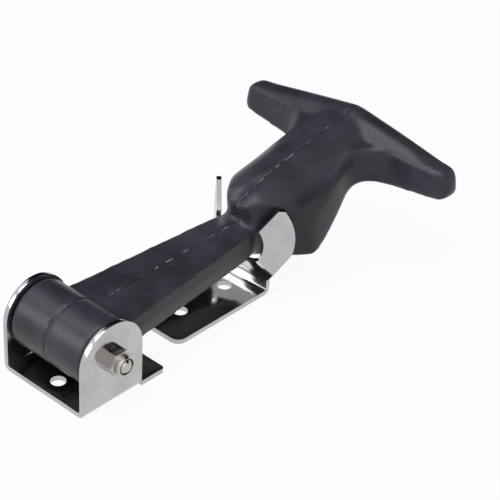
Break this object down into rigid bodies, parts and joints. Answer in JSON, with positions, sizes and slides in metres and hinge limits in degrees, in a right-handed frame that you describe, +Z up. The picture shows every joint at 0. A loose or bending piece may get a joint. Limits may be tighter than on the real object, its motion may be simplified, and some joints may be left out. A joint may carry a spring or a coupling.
{
  "type": "rubber t draw latch",
  "caption": "Draw latch: a tapered rubber strap with a bulb and T-handle swings on a stainless pivot bracket and catches behind the swept ears of a stainless keeper.",
  "frame": {"origin": "on the mounting plane, straight under the pivot axis, on the underside of the pivot bracket", "axes": "+X from the pivot bracket to the T-handle, +Y across the latch towards the bolt head, +Z up from the mounting plane"},
  "size_m": [0.1349, 0.082, 0.0424],
  "materials": {
    "rubber": "satin moulded",
    "stainless_sheet": "polished",
    "fastener_steel": "bright, as machined",
    "nylon": "matt moulded"
  },
  "bodies": {
    "mounted": {"pivot_bracket": "stainless_sheet", "pivot_bolt": "fastener_steel", "lock_nut": "fastener_steel", "nylon_insert": "nylon", "spacer_sleeve": "fastener_steel", "keeper_bracket": "stainless_sheet"},
    "t_strap": {"rubber_t_strap": "rubber"}
  },
  "joints": [
    {"name": "strap_swing", "type": "hinge", "parent": "mounted", "child": "t_strap", "pos_m": [0, 0, 0.0152], "axis": [0, -1, 0], "range_deg": [0, 165]}
  ]
}
